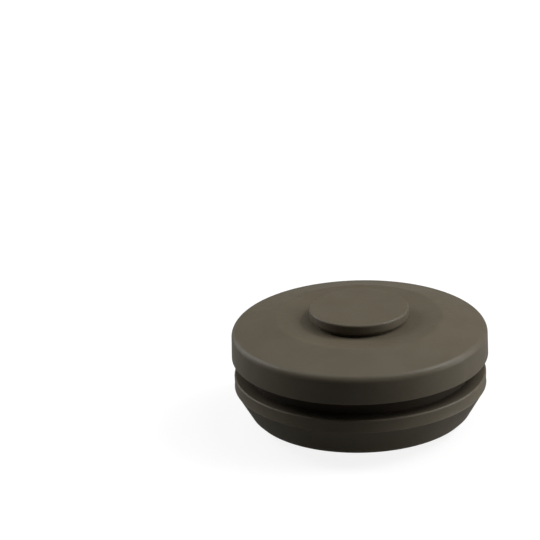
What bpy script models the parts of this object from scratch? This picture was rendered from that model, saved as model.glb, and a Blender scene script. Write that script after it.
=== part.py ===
"""Membrane cable entry, moulded in one piece from soft rubber.

It snaps into a round hole in a panel. The flange seals on the front of the panel, the
snap ring grips its back, and the groove between them holds the panel's edge. A cable
pierces the membrane under the raised button, crosses the hollow chamber and leaves
through the hole in the nose, whose lip closes round it.

The whole body is one turned form, so half of its section is drawn on the XZ plane and
turned about the axis. Sizes are in millimetres, and the model is in metres with +Z along
the axis. It stands on the flat lip of the hole, and the origin is the centre of that lip.
"""

import math

import bpy

MM = 0.001

# The panel that it snaps into, and the groove that holds the panel's edge
panel_hole_diameter = 25.5
neck_clearance = 0.1
groove_width = 2.02
groove_corner_radius = 0.12

# Flange, the cap on the front of the panel
flange_overlap = 2.0
flange_draft = 0.04
flange_edge_height = 3.2
flange_edge_radius = 0.84
flange_lower_edge_radius = 0.1

# Crown of the flange, with the shallow dish of the membrane inside it
crown_diameter = 19.1
crown_rise = 1.48
crown_radius = 1.0
dish_depth = 0.4
dish_flat = 1.0
dish_radius = 3.0

# Button over the middle of the membrane, where the cable goes through
button_diameter = 11.52
button_undercut = 0.4
button_height = 1.63
button_edge_radius = 0.28
button_foot_radius = 0.12

# Snap ring that grips the back of the panel
ring_overlap = 1.75
ring_draft = 0.05
ring_height = 1.53
ring_edge_radius = 0.22
ring_lower_edge_radius = 0.12

# Nose, a cone below the ring that leads into the panel's hole and ends in a rounded rim
nose_height = 3.46
rim_clearance = 0.06
rim_height = 0.49
rim_chamfer = 0.5
rim_outer_radius = 0.25
rim_inner_radius = 0.25
rim_crease_radius = 0.15
rim_width = 1.08

# Recess inside the rim, with a conical floor that stands out towards the hole
recess_draft = 0.15
recess_depth = 1.5
recess_corner_radius = 0.25

# Lip round the hole for the cable
lip_projection = 1.06
lip_width = 1.29
lip_edge_radius = 0.12
lip_thickness = 1.44
hole_diameter = 10.34
hole_draft = 0.12

# Hollow chamber between the conical floor and the membrane
neck_wall = 2.7
floor_wall = 1.4
membrane_thickness = 1.3
chamber_corner_radius = 0.8

# How finely the round forms are divided
turn_steps = 72
arc_tolerance = 0.012

rubber_colour = (0.118, 0.104, 0.080, 1.0)
rubber_roughness = 0.55


def corner(from_axis, height, fillet=0.0):
    """One corner of the half section: distance from the axis, height and fillet radius."""
    return (from_axis, height, fillet)


def arc_steps(radius, turn):
    """How many chords keep an arc within the tolerance."""
    chord_angle = 2 * math.acos(max(0.0, 1 - arc_tolerance / radius))
    return max(1, math.ceil(abs(turn) / chord_angle))


def fillet_points(before, at, after):
    """The corner itself, or the arc tangent to both of its sides, as far as they reach."""
    in_x, in_z = at[0] - before[0], at[1] - before[1]
    out_x, out_z = after[0] - at[0], after[1] - at[1]
    in_length = math.hypot(in_x, in_z)
    out_length = math.hypot(out_x, out_z)
    turn = math.atan2(in_x * out_z - in_z * out_x, in_x * out_x + in_z * out_z)
    if at[2] == 0.0 or abs(turn) < math.radians(1.0):
        return [(at[0], at[1])]
    half_tangent = math.tan(abs(turn) / 2)
    trim = min(at[2] * half_tangent, in_length / 2.1, out_length / 2.1)
    radius = trim / half_tangent
    side = math.copysign(radius, turn)
    start_x = at[0] - in_x / in_length * trim
    start_z = at[1] - in_z / in_length * trim
    centre_x = start_x - in_z / in_length * side
    centre_z = start_z + in_x / in_length * side
    start_angle = math.atan2(start_z - centre_z, start_x - centre_x)
    steps = arc_steps(radius, turn)
    angles = [start_angle + turn * step / steps for step in range(steps + 1)]
    return [
        (centre_x + radius * math.cos(angle), centre_z + radius * math.sin(angle))
        for angle in angles
    ]


def rounded(corners):
    """The corners as one line of points, each corner with its own fillet."""
    points = [corners[0][:2]]
    for before, at, after in zip(corners, corners[1:], corners[2:]):
        points.extend(fillet_points(before, at, after))
    points.append(corners[-1][:2])
    return points


def half_section():
    """Half of the section, from the top centre down the outside and back up the chamber."""
    rim_bottom = lip_projection
    ring_bottom = rim_bottom + nose_height
    ring_top = ring_bottom + ring_height
    flange_bottom = ring_top + groove_width
    flange_top = flange_bottom + flange_edge_height
    crown_top = flange_top + crown_rise
    dish_floor = crown_top - dish_depth
    button_top = dish_floor + button_height

    panel_hole = panel_hole_diameter / 2
    neck = panel_hole - neck_clearance / 2
    flange = panel_hole + flange_overlap
    ring = panel_hole + ring_overlap
    crown = crown_diameter / 2
    button = button_diameter / 2
    rim = panel_hole - rim_clearance / 2
    recess = rim - rim_width
    recess_floor = recess - recess_draft
    recess_top = rim_bottom + recess_depth
    hole = hole_diameter / 2
    lip = hole + lip_width
    chamber = neck - neck_wall

    floor_angle = math.atan2(recess_top, recess_floor - lip)
    floor_thickness = floor_wall / math.cos(floor_angle)
    chamber_floor = (chamber - lip) * math.tan(floor_angle) + floor_thickness
    chamber_roof = dish_floor - membrane_thickness

    cap = [
        corner(0.0, button_top),
        corner(button, button_top, button_edge_radius),
        corner(button - button_undercut, dish_floor, button_foot_radius),
        corner(button + dish_flat, dish_floor, dish_radius),
        corner(crown, crown_top, crown_radius),
        corner(flange - flange_draft, flange_top, flange_edge_radius),
        corner(flange, flange_bottom, flange_lower_edge_radius),
    ]
    groove = [
        corner(neck, flange_bottom, groove_corner_radius),
        corner(neck, ring_top, groove_corner_radius),
    ]
    snap_ring = [
        corner(ring, ring_top, ring_edge_radius),
        corner(ring - ring_draft, ring_bottom, ring_lower_edge_radius),
    ]
    nose = [
        corner(rim, rim_bottom + rim_height, rim_crease_radius),
        corner(rim - rim_chamfer, rim_bottom, rim_outer_radius),
        corner(recess, rim_bottom, rim_inner_radius),
    ]
    floor = [
        corner(recess_floor, recess_top, recess_corner_radius),
        corner(lip, 0.0, lip_edge_radius),
        corner(hole, 0.0),
        corner(hole - hole_draft, lip_thickness),
    ]
    hollow = [
        corner(lip, lip_thickness, lip_edge_radius),
        corner(chamber, chamber_floor, chamber_corner_radius),
        corner(chamber, chamber_roof, chamber_corner_radius),
        corner(0.0, chamber_roof),
    ]
    return rounded(cap + groove + snap_ring + nose + floor + hollow)


def rubber():
    """Matt dark grey-brown rubber."""
    material = bpy.data.materials.new("grey_rubber")
    material.use_nodes = True
    material.diffuse_color = rubber_colour
    shader = material.node_tree.nodes["Principled BSDF"]
    shader.inputs["Base Color"].default_value = rubber_colour
    shader.inputs["Roughness"].default_value = rubber_roughness
    shader.inputs["Metallic"].default_value = 0.0
    return material


def cable_entry():
    """The one moulded body: its half section, turned about the axis."""
    points = [(x * MM, 0.0, z * MM) for x, z in half_section()]
    edges = [(index, index + 1) for index in range(len(points) - 1)]
    mesh = bpy.data.meshes.new("cable_entry")
    mesh.from_pydata(points, edges, [])
    mesh.materials.append(rubber())
    body = bpy.data.objects.new("cable_entry", mesh)
    bpy.context.scene.collection.objects.link(body)
    turning = body.modifiers.new("turning", "SCREW")
    turning.axis = "Z"
    turning.angle = math.radians(360)
    turning.steps = turn_steps
    turning.render_steps = turn_steps
    turning.use_merge_vertices = True
    turning.merge_threshold = 0.000001
    turning.use_smooth_shade = True


for item in list(bpy.data.objects):
    bpy.data.objects.remove(item, do_unlink=True)

cable_entry()
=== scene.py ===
"""Looks of the membrane cable entry: the moulded rubber body, its finish, the lights and the camera."""

import math

import bpy
from mathutils import Matrix, Vector


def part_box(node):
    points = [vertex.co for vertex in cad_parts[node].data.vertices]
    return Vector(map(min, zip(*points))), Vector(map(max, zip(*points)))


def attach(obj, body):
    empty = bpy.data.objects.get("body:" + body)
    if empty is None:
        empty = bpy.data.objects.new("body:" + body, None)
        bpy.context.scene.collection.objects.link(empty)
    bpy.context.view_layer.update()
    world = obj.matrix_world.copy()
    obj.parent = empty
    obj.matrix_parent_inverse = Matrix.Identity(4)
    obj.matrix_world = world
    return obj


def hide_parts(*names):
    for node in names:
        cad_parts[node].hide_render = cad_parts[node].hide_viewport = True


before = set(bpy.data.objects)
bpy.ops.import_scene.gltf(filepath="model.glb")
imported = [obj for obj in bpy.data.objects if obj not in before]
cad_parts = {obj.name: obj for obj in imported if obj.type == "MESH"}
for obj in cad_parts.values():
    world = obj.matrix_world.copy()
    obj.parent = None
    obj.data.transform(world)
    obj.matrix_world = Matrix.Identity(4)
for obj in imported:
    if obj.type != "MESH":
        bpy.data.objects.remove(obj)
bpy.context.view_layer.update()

MM = 0.001
CAD_NODE = "cable_entry"
_, node_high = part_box(CAD_NODE)

# The section's sizes in millimetres. The flange and the whole height come from the frame.
flange_radius = node_high.x / MM
button_top = node_high.z / MM
panel_hole_radius = 12.75
neck_radius = 12.7
groove_width = 2.02
groove_corner_radius = 0.05

flange_draft = 0.04
flange_edge_height = 3.2
flange_edge_radius = 0.84
flange_lower_edge_radius = 0.1

crown_radius_at_crest = 9.55
crown_rise = 1.48
crown_rounding = 1.0
dish_depth = 0.32
dish_flat = 1.0
dish_rounding = 3.0

button_radius = 5.71
button_undercut = 0.5
button_undercut_height = 0.5
button_undercut_rounding = 0.3
button_height = 1.55
button_edge_radius = 0.24
button_foot_radius = 0.05

ring_overlap = 1.75
ring_draft = 0.05
ring_height = 1.53
ring_edge_radius = 0.22
ring_lower_edge_radius = 0.05
parting_line_height = 0.12
parting_line_relief = 0.045
parting_line_share = 0.3

rim_radius = 12.72
rim_height = 0.49
rim_chamfer = 0.5
rim_outer_rounding = 0.25
rim_inner_rounding = 0.25
rim_crease_rounding = 0.15
rim_width = 1.08

recess_draft = 0.15
recess_depth = 1.5
recess_corner_rounding = 0.25

lip_projection = 1.06
lip_width = 1.29
lip_edge_rounding = 0.12
lip_thickness = 1.44
hole_radius = 5.17
hole_draft = 0.12
hole_edge_rounding = 0.06

chamber_radius = 10.0
floor_wall = 1.4
membrane_thickness = 1.3
chamber_rounding = 0.8

# Heights that follow from those sizes
dish_floor = button_top - button_height
crown_top = dish_floor + dish_depth
flange_top = crown_top - crown_rise
flange_bottom = flange_top - flange_edge_height
ring_top = flange_bottom - groove_width
ring_bottom = ring_top - ring_height

# Raised blank marks on the conical floor of the recess: distances from the axis in
# millimetres, and azimuths in degrees that are whole turning steps
mark_distances = (10.4, 10.05, 9.35, 8.45, 7.9, 7.55)
mark_height = 0.16
mark_side = 0.04
mark_wall_share = 0.8
plate_distances = (7.55, 10.4)
plate_azimuths = (-49.5, -30.0)
panel_distances = (7.9, 10.05)
panel_azimuths = (-48.0, -31.5)
panel_depth = 0.1
pad_distances = (8.45, 9.35)
pad_azimuths = (-151.5, -109.5)

# How finely the body is divided, and how its points are told apart, in millimetres
TURN_STEPS = 240
CHORD_ANGLE = math.radians(9)
SMOOTH_ANGLE = math.radians(35)
button_ring_shares = (0.0, 0.15, 0.5, 0.82)
arc_side_share = 2.1
point_tolerance = 0.001
merge_distance = 0.0005
floor_tolerance = 0.03

# Places in the photograph, in pixels of its 540 by 540 frame, and the lens that it was taken with
PHOTO_SIDE = 540
RIM_CENTRE_PIXEL = (361.127, 409.964)
PIXELS_PER_MM = 8.6607
CAMERA_DISTANCE = 709.3
CAMERA_ELEVATION = math.radians(23.614)
CAMERA_ROLL = math.radians(-1.19)
SENSOR_WIDTH = 36.0
CLIP_RANGE = (0.01, 10.0)

# Colours of the rubber, as linear values
rubber_dark = (0.107, 0.0905, 0.0627, 1.0)
rubber_light = (0.118, 0.101, 0.0717, 1.0)
rubber_speck = (0.130, 0.112, 0.083, 1.0)
# Painted shade: the darker colour put into the creases and the groove, where shade falls
rubber_painted_shade = (0.036, 0.026, 0.017, 1.0)
# Paler edges: real wear, and partly a painted highlight along the edges
rubber_worn_highlight = (0.150, 0.135, 0.112, 1.0)

# Finish of the rubber: its gloss, its worn edges, partly a painted highlight, and its creases and
# groove, duller and with painted shade. Reaches and heights are in millimetres, and occlusion is from 0
# to 1.
specular_level = 0.22
roughness_range = (0.38, 0.47)
grain_roughness = 0.03
crease_roughness = 0.4
bump_strength = 0.25
skin_relief = 0.05
grain_relief = 0.012
occlusion_samples = 8
# Paler outer edges, worn and partly a painted highlight: reach, occlusion range and strength
worn_highlight_reach = 0.45
worn_highlight_occlusion = (0.45, 0.8)
worn_highlight_share = 0.5
# Painted shade in the creases and the groove: its reach, occlusion range, strength, end heights and
# groove fade
crease_reach = 4.0
crease_occlusion = (0.18, 0.55)
crease_shade_share = 0.88
crease_end_heights = (11.0, 12.0)
groove_shade_share = 0.85
groove_depth = (0.1, 1.4)
groove_margin = (0.05, 0.15)

# Floor, world and lamps
floor_side = 3.0
floor_gap = 0.02
floor_shade = 0.2
floor_white = 0.86
world_fill = 0.02
floor_in_gloss = 0.05
world_in_gloss = 0.08
softbox_distance = 0.5
softbox_aim_height = 0.007
recess_lamp_radius = 11.0
recess_lamp_distance = 0.06
recess_lamp_watts = 0.0011
recess_lamp_spread = math.radians(6)
# Name, azimuth, elevation, side in metres, and watts
softboxes = (
    ("right_high", 95, 62, 0.34, 0.83),
    ("right_middle", 95, 45, 0.2, 0.95),
    ("right_low", 95, 10, 0.34, 1.17),
    ("right_back", 115, 45, 0.2, 0.27),
    ("back", 180, 70, 0.34, 0.15),
    ("left_high", -118, 55, 0.34, 0.44),
    ("left_middle", -112, 37, 0.2, 0.64),
    ("left_low", -123, 8, 0.34, 0.72),
    ("below_right", 110, -30, 0.34, 0.25),
    ("below_left", -110, -30, 0.34, 0.05),
)


def deselect_all():
    """Nothing stays selected, so an operator acts on the new piece alone."""
    bpy.ops.object.select_all(action="DESELECT")


def recess_floor_line():
    """The conical floor in the section: where the lip begins, and the rise per millimetre outwards."""
    lip_radius = hole_radius + lip_width
    recess_top = lip_projection + recess_depth
    slope = recess_top / (rim_radius - rim_width - recess_draft - lip_radius)
    return lip_radius, slope


def section_corners():
    """Corners of half the section, from the top centre down the outside and up the chamber."""
    ring_radius = panel_hole_radius + ring_overlap
    parting_line_crest = ring_bottom + parting_line_share * parting_line_height
    rim_bottom = lip_projection
    recess_radius = rim_radius - rim_width
    recess_top = rim_bottom + recess_depth
    lip_radius, floor_slope = recess_floor_line()
    floor_thickness = floor_wall * math.hypot(1.0, floor_slope)
    chamber_floor = (chamber_radius - lip_radius) * floor_slope + floor_thickness
    chamber_roof = dish_floor - membrane_thickness
    button_rings = [(share * button_radius, button_top, 0.0) for share in button_ring_shares]
    on_the_floor = [
        (distance, (distance - lip_radius) * floor_slope, 0.0) for distance in mark_distances
    ]
    return button_rings + [
        (button_radius, button_top, button_edge_radius),
        (button_radius, dish_floor + button_undercut_height, button_undercut_rounding),
        (button_radius - button_undercut, dish_floor, button_foot_radius),
        (button_radius + dish_flat, dish_floor, dish_rounding),
        (crown_radius_at_crest, crown_top, crown_rounding),
        (flange_radius - flange_draft, flange_top, flange_edge_radius),
        (flange_radius, flange_bottom, flange_lower_edge_radius),
        (neck_radius, flange_bottom, groove_corner_radius),
        (neck_radius, ring_top, groove_corner_radius),
        (ring_radius, ring_top, ring_edge_radius),
        (ring_radius - ring_draft, ring_bottom + parting_line_height, 0.0),
        (ring_radius - ring_draft + parting_line_relief, parting_line_crest, 0.0),
        (ring_radius - ring_draft, ring_bottom, ring_lower_edge_radius),
        (rim_radius, rim_bottom + rim_height, rim_crease_rounding),
        (rim_radius - rim_chamfer, rim_bottom, rim_outer_rounding),
        (recess_radius, rim_bottom, rim_inner_rounding),
        (recess_radius - recess_draft, recess_top, recess_corner_rounding),
    ] + on_the_floor + [
        (lip_radius, 0.0, lip_edge_rounding),
        (hole_radius, 0.0, hole_edge_rounding),
        (hole_radius - hole_draft, lip_thickness, hole_edge_rounding),
        (lip_radius, lip_thickness, lip_edge_rounding),
        (chamber_radius, chamber_floor, chamber_rounding),
        (chamber_radius, chamber_roof, chamber_rounding),
        (0.0, chamber_roof, 0.0),
    ]


def draw_section(corners):
    """Draws the corners as one open line by extruding a point from each to the next."""
    deselect_all()
    start = Vector((corners[0][0], 0.0, corners[0][1])) * MM
    bpy.ops.mesh.primitive_plane_add(size=MM, location=start)
    bpy.ops.object.transform_apply(location=True, rotation=True, scale=True)
    bpy.ops.object.mode_set(mode="EDIT")
    bpy.ops.mesh.merge(type="CENTER")
    for before, after in zip(corners, corners[1:]):
        step = Vector((after[0] - before[0], 0.0, after[1] - before[1])) * MM
        bpy.ops.mesh.extrude_region_move(TRANSFORM_OT_translate={"value": step})
    bpy.ops.object.mode_set(mode="OBJECT")
    return bpy.context.object


def round_corner(piece, before, at, after):
    """Rounds one corner of the section with an arc tangent to both of its sides."""
    into = Vector((at[0] - before[0], at[1] - before[1]))
    out = Vector((after[0] - at[0], after[1] - at[1]))
    turn = into.angle(out)
    longest = min(into.length, out.length) / arc_side_share
    reach = min(at[2] * math.tan(turn / 2), longest)
    steps = max(2, math.ceil(turn / CHORD_ANGLE))
    place = Vector((at[0], 0.0, at[1])) * MM
    mesh = piece.data
    for vertex in mesh.vertices:
        vertex.select = (vertex.co - place).length < point_tolerance * MM
    for edge in mesh.edges:
        edge.select = False
    bpy.ops.object.mode_set(mode="EDIT")
    bpy.ops.mesh.bevel(
        offset_type="OFFSET", offset=reach * MM, segments=steps, profile=0.5, affect="VERTICES"
    )
    bpy.ops.object.mode_set(mode="OBJECT")


def turned_body():
    """The body: half its section is drawn, its corners are rounded, and it is spun about the axis."""
    corners = section_corners()
    body = draw_section(corners)
    body.name = body.data.name = "rubber_body"
    for before, at, after in zip(corners, corners[1:], corners[2:]):
        if at[2] > 0.0:
            round_corner(body, before, at, after)
    bpy.ops.object.mode_set(mode="EDIT")
    bpy.ops.mesh.select_all(action="SELECT")
    bpy.ops.mesh.spin(steps=TURN_STEPS, angle=math.tau, center=(0, 0, 0), axis=(0, 0, 1))
    bpy.ops.mesh.select_all(action="SELECT")
    bpy.ops.mesh.remove_doubles(threshold=merge_distance * MM)
    bpy.ops.mesh.normals_make_consistent(inside=False)
    bpy.ops.object.mode_set(mode="OBJECT")
    return body


def select_floor_faces(piece, distances, azimuths, raised=0.0):
    """Selects faces on or along the conical floor, between two distances and two azimuths."""
    lip_radius, slope = recess_floor_line()
    for polygon in piece.data.polygons:
        centre = polygon.center / MM
        distance = math.hypot(centre.x, centre.y)
        azimuth = math.degrees(math.atan2(centre.y, centre.x))
        height = (distance - lip_radius) * slope - raised * math.hypot(1.0, slope)
        polygon.select = (
            distances[0] < distance < distances[1]
            and azimuths[0] < azimuth < azimuths[1]
            and abs(centre.z - height) < floor_tolerance
            and polygon.normal.z < 0
        )


def raise_mark(piece, distances, azimuths, base=0.0, height=mark_height):
    """Raises a patch of the conical floor, or of a mark on it, with steep sides and a rounded edge."""
    deselect_all()
    piece.select_set(True)
    bpy.context.view_layer.objects.active = piece
    bpy.ops.object.mode_set(mode="EDIT")
    bpy.ops.mesh.select_mode(type="FACE")
    bpy.ops.mesh.select_all(action="DESELECT")
    bpy.ops.object.mode_set(mode="OBJECT")
    select_floor_faces(piece, distances, azimuths, base)
    bpy.ops.object.mode_set(mode="EDIT")
    bpy.ops.mesh.inset(thickness=mark_side * MM, depth=height * mark_wall_share * MM)
    bpy.ops.mesh.inset(thickness=mark_side * MM, depth=height * (1 - mark_wall_share) * MM)
    bpy.ops.object.mode_set(mode="OBJECT")


def add_marks(piece):
    """The marks on the recess floor, both blank: a framed plate and a long pad."""
    raise_mark(piece, plate_distances, plate_azimuths)
    raise_mark(piece, panel_distances, panel_azimuths, mark_height, -panel_depth)
    raise_mark(piece, pad_distances, pad_azimuths)


def finish_shading(piece):
    """Smooth shading in which the large faces keep their own direction."""
    deselect_all()
    piece.select_set(True)
    bpy.context.view_layer.objects.active = piece
    bpy.ops.object.shade_smooth_by_angle(angle=SMOOTH_ANGLE)
    weighted = piece.modifiers.new("weighted_normals", "WEIGHTED_NORMAL")
    weighted.keep_sharp = True
    bpy.ops.object.modifier_apply(modifier=weighted.name)


def rubber_material():
    """Moulded rubber, dark grey-brown and half matt: fine grain, faint mottling, paler worn edges
    partly painted as highlights.

    Its creases and the groove for the panel are duller, with shade painted into their colour.
    """
    material = bpy.data.materials.new("moulded_rubber")
    material.use_nodes = True
    nodes = material.node_tree.nodes
    links = material.node_tree.links
    shader = nodes["Principled BSDF"]
    shader.inputs["Specular IOR Level"].default_value = specular_level

    place = nodes.new("ShaderNodeTexCoord")
    in_mm = nodes.new("ShaderNodeMapping")
    in_mm.label = "object coordinates in millimetres"
    in_mm.inputs["Scale"].default_value = (1 / MM, 1 / MM, 1 / MM)
    links.new(place.outputs["Object"], in_mm.inputs["Vector"])

    def noise(label, scale, detail, roughness):
        """A noise texture on the millimetre coordinates."""
        texture = nodes.new("ShaderNodeTexNoise")
        texture.label = label
        texture.inputs["Scale"].default_value = scale
        texture.inputs["Detail"].default_value = detail
        texture.inputs["Roughness"].default_value = roughness
        links.new(in_mm.outputs["Vector"], texture.inputs["Vector"])
        return texture.outputs["Fac"]

    def to_range(value, low, high, new_low, new_high):
        """Carries a value from one range to another and holds it there."""
        mapped = nodes.new("ShaderNodeMapRange")
        mapped.inputs["From Min"].default_value = low
        mapped.inputs["From Max"].default_value = high
        mapped.inputs["To Min"].default_value = new_low
        mapped.inputs["To Max"].default_value = new_high
        links.new(value, mapped.inputs["Value"])
        return mapped.outputs["Result"]

    def blend(factor, colour_a, colour_b):
        """Mixes two colours by a varying factor. Each colour is a value or another node's output."""
        mix = nodes.new("ShaderNodeMix")
        mix.data_type = "RGBA"
        links.new(factor, mix.inputs["Factor"])
        for socket, colour in ((mix.inputs["A"], colour_a), (mix.inputs["B"], colour_b)):
            if isinstance(colour, tuple):
                socket.default_value = colour
            else:
                links.new(colour, socket)
        return mix.outputs["Result"]

    def joined(operation, first, second):
        """A Math node on two varying values."""
        node = nodes.new("ShaderNodeMath")
        node.operation = operation
        links.new(first, node.inputs[0])
        links.new(second, node.inputs[1])
        return node.outputs[0]

    def occlusion(label, reach, inside):
        """How open the surface is, or how thick the body is below it, from 0 to 1."""
        node = nodes.new("ShaderNodeAmbientOcclusion")
        node.label = label
        node.inside = inside
        node.only_local = True
        node.samples = occlusion_samples
        node.inputs["Distance"].default_value = reach * MM
        return node.outputs["AO"]

    def bump(label, height, relief):
        """A Bump node on a varying height."""
        node = nodes.new("ShaderNodeBump")
        node.label = label
        node.inputs["Strength"].default_value = bump_strength
        node.inputs["Distance"].default_value = relief * MM
        links.new(height, node.inputs["Height"])
        return node

    mottle = noise("mottling of the compound", 0.28, 3.0, 0.55)
    flow = noise("patches of the mould's surface", 1.1, 2.0, 0.5)
    grain = noise("grain of the mould's surface", 6.0, 3.0, 0.6)

    compound = blend(to_range(mottle, 0.35, 0.65, 0.0, 1.0), rubber_dark, rubber_light)
    speckled = blend(to_range(grain, 0.45, 0.75, 0.0, 0.35), compound, rubber_speck)

    # Paler outer edges: partly real wear, partly a painted highlight where the edges catch light
    edge = occlusion("outer edges, rubbed paler and with a painted highlight", worn_highlight_reach, True)
    edge = to_range(edge, *worn_highlight_occlusion, worn_highlight_share, 0.0)
    worn_highlight = joined("MULTIPLY", edge, to_range(flow, 0.35, 0.6, 0.2, 1.0))
    worn_highlit_edges = blend(worn_highlight, speckled, rubber_worn_highlight)

    # Painted shade in the creases, by how closed in the surface is, fading out below the button
    crease_shade = occlusion("creases, where shade is painted darker", crease_reach, False)
    crease_shade = to_range(crease_shade, *crease_occlusion, crease_shade_share, 0.0)
    parts = nodes.new("ShaderNodeSeparateXYZ")
    links.new(in_mm.outputs["Vector"], parts.inputs["Vector"])
    height = parts.outputs["Z"]
    crease_shade = joined("MULTIPLY", crease_shade, to_range(height, *crease_end_heights, 1.0, 0.0))

    # Painted shade in the groove for the panel, deepest at the neck and fading at the flange and ring
    across = nodes.new("ShaderNodeVectorMath")
    across.operation = "MULTIPLY"
    across.inputs[1].default_value = (1.0, 1.0, 0.0)
    links.new(in_mm.outputs["Vector"], across.inputs[0])
    from_axis = nodes.new("ShaderNodeVectorMath")
    from_axis.label = "distance from the axis"
    from_axis.operation = "LENGTH"
    links.new(across.outputs["Vector"], from_axis.inputs[0])
    shallow, deep = neck_radius + groove_depth[1], neck_radius + groove_depth[0]
    depth = to_range(from_axis.outputs["Value"], deep, shallow, groove_shade_share, 0.0)
    near, far = groove_margin
    above_ring = to_range(height, ring_top - far, ring_top - near, 0.0, 1.0)
    below_flange = to_range(height, flange_bottom + near, flange_bottom + far, 1.0, 0.0)
    groove = joined("MULTIPLY", above_ring, below_flange)
    crease_shade = joined("MAXIMUM", crease_shade, joined("MULTIPLY", groove, depth))
    finished = blend(crease_shade, worn_highlit_edges, rubber_painted_shade)
    links.new(finished, shader.inputs["Base Color"])

    gloss = to_range(flow, 0.3, 0.7, *roughness_range)
    gloss = joined("ADD", gloss, to_range(grain, 0.3, 0.7, -grain_roughness, grain_roughness))
    gloss = joined("ADD", gloss, to_range(crease_shade, 0.0, 1.0, 0.0, crease_roughness))
    links.new(gloss, shader.inputs["Roughness"])

    skin = bump("slow waviness of the soft skin", flow, skin_relief)
    fine = bump("fine grain", grain, grain_relief)
    links.new(skin.outputs["Normal"], fine.inputs["Normal"])
    links.new(fine.outputs["Normal"], shader.inputs["Normal"])
    return material


def background_rays(nodes, links, gloss_share):
    """How far a ray shows the white background, and whether it is a shadow ray.

    It shows wholly to the camera and through glass, and by a share in gloss.
    """
    path = nodes.new("ShaderNodeLightPath")
    dimmed = nodes.new("ShaderNodeMath")
    dimmed.operation = "MULTIPLY"
    dimmed.inputs[1].default_value = gloss_share
    seen = nodes.new("ShaderNodeMath")
    seen.operation = "MAXIMUM"
    seen_or_through = nodes.new("ShaderNodeMath")
    seen_or_through.operation = "MAXIMUM"
    links.new(path.outputs["Is Glossy Ray"], dimmed.inputs[0])
    links.new(path.outputs["Is Camera Ray"], seen.inputs[0])
    links.new(dimmed.outputs[0], seen.inputs[1])
    links.new(seen.outputs[0], seen_or_through.inputs[0])
    links.new(path.outputs["Is Transmission Ray"], seen_or_through.inputs[1])
    return seen_or_through.outputs[0], path.outputs["Is Shadow Ray"]


def make_floor():
    """Pale floor. It shows white with the object's shadow on it, and it is clear from below."""
    deselect_all()
    bpy.ops.mesh.primitive_plane_add(size=floor_side, location=(0, 0, -floor_gap * MM))
    floor = bpy.context.object
    floor.name = "floor"
    material = bpy.data.materials.new("pale_floor")
    material.use_nodes = True
    nodes = material.node_tree.nodes
    links = material.node_tree.links
    nodes.clear()
    output = nodes.new("ShaderNodeOutputMaterial")
    matt = nodes.new("ShaderNodeBsdfDiffuse")
    matt.inputs["Color"].default_value = (floor_shade, floor_shade, floor_shade, 1.0)
    white = nodes.new("ShaderNodeEmission")
    white.inputs["Strength"].default_value = floor_white
    seen_floor = nodes.new("ShaderNodeAddShader")
    links.new(matt.outputs[0], seen_floor.inputs[0])
    links.new(white.outputs[0], seen_floor.inputs[1])
    background, shadow = background_rays(nodes, links, floor_in_gloss)
    top = nodes.new("ShaderNodeMixShader")
    links.new(background, top.inputs["Fac"])
    links.new(matt.outputs[0], top.inputs[1])
    links.new(seen_floor.outputs[0], top.inputs[2])
    geometry = nodes.new("ShaderNodeNewGeometry")
    clear_side = nodes.new("ShaderNodeMath")
    clear_side.operation = "MAXIMUM"
    links.new(geometry.outputs["Backfacing"], clear_side.inputs[0])
    links.new(shadow, clear_side.inputs[1])
    clear = nodes.new("ShaderNodeBsdfTransparent")
    both = nodes.new("ShaderNodeMixShader")
    links.new(clear_side.outputs[0], both.inputs["Fac"])
    links.new(top.outputs[0], both.inputs[1])
    links.new(clear.outputs[0], both.inputs[2])
    links.new(both.outputs[0], output.inputs["Surface"])
    floor.data.materials.append(material)
    return floor


def make_world():
    """White backdrop for the camera, dimmed in gloss, and a low plain level of light all round."""
    world = bpy.data.worlds.new("studio")
    bpy.context.scene.world = world
    world.use_nodes = True
    nodes = world.node_tree.nodes
    links = world.node_tree.links
    level = nodes.new("ShaderNodeMix")
    level.data_type = "FLOAT"
    level.inputs["A"].default_value = world_fill
    level.inputs["B"].default_value = 1.0
    background, _ = background_rays(nodes, links, world_in_gloss)
    links.new(background, level.inputs["Factor"])
    nodes["Background"].inputs["Color"].default_value = (1.0, 1.0, 1.0, 1.0)
    links.new(level.outputs["Result"], nodes["Background"].inputs["Strength"])


def add_softbox(name, azimuth, elevation, size, watts):
    """A square area lamp that faces the object. Azimuth 0 is behind the camera, 90 is on the right."""
    aim = Vector((0.0, 0.0, softbox_aim_height))
    a, e = math.radians(azimuth), math.radians(elevation)
    towards = Vector((math.sin(a) * math.cos(e), -math.cos(a) * math.cos(e), math.sin(e)))
    data = bpy.data.lights.new(name, "AREA")
    data.shape = "SQUARE"
    data.size = size
    data.energy = watts
    lamp = bpy.data.objects.new(name, data)
    lamp.location = aim + towards * softbox_distance
    lamp.rotation_euler = towards.to_track_quat("Z", "Y").to_euler()
    lamp.visible_camera = False
    bpy.context.scene.collection.objects.link(lamp)
    return lamp


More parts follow.
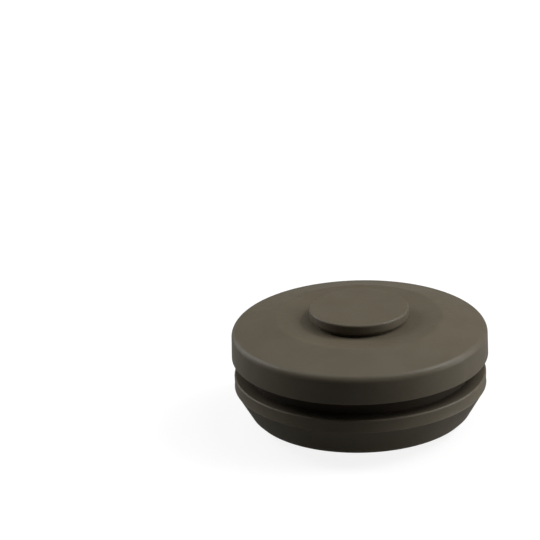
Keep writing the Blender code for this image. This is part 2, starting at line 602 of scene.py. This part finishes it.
def add_recess_lamp():
    """A small round lamp straight below, as wide as the recess, so that the underside can be seen."""
    data = bpy.data.lights.new("below_recess", "AREA")
    data.shape = "DISK"
    data.size = 2 * recess_lamp_radius * MM
    data.spread = recess_lamp_spread
    data.energy = recess_lamp_watts
    lamp = bpy.data.objects.new("below_recess", data)
    lamp.location = (0.0, 0.0, -recess_lamp_distance)
    lamp.rotation_euler = (math.pi, 0.0, 0.0)
    lamp.visible_camera = False
    lamp.visible_glossy = False
    bpy.context.scene.collection.objects.link(lamp)


def make_lights():
    """Plain soft studio light."""
    for name, azimuth, elevation, size, watts in softboxes:
        add_softbox(name, azimuth, elevation, size, watts)
    add_recess_lamp()


def make_camera():
    """The photograph's camera: a long lens from a little above, with the part at its place there."""
    data = bpy.data.cameras.new("camera")
    camera = bpy.data.objects.new("camera", data)
    bpy.context.scene.collection.objects.link(camera)
    bpy.context.scene.camera = camera
    focal_pixels = PIXELS_PER_MM * CAMERA_DISTANCE
    data.sensor_width = SENSOR_WIDTH
    data.lens = SENSOR_WIDTH * focal_pixels / PHOTO_SIDE
    data.clip_start, data.clip_end = CLIP_RANGE
    rim_centre = Vector((0.0, 0.0, lip_projection * MM))
    back = Vector((0.0, -math.cos(CAMERA_ELEVATION), math.sin(CAMERA_ELEVATION)))
    across = (RIM_CENTRE_PIXEL[0] - PHOTO_SIDE / 2) / focal_pixels
    down = (RIM_CENTRE_PIXEL[1] - PHOTO_SIDE / 2) / focal_pixels
    towards = Vector((across, -down, -1.0)).normalized()
    upright = Matrix((Vector((1, 0, 0)), back.cross(Vector((1, 0, 0))), back)).transposed()
    roll = Matrix.Rotation(CAMERA_ROLL, 3, "Z")
    turn = Vector((0, 0, -1)).rotation_difference(towards).to_matrix().inverted()
    rotation = upright @ roll @ turn
    camera.location = rim_centre + back * CAMERA_DISTANCE * MM
    camera.rotation_euler = rotation.to_euler()


body = turned_body()
add_marks(body)
finish_shading(body)
body.data.materials.append(rubber_material())
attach(body, "root")
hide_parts(CAD_NODE)

make_floor()
make_world()
make_lights()
make_camera()
bpy.context.scene.view_settings.view_transform = "Standard"
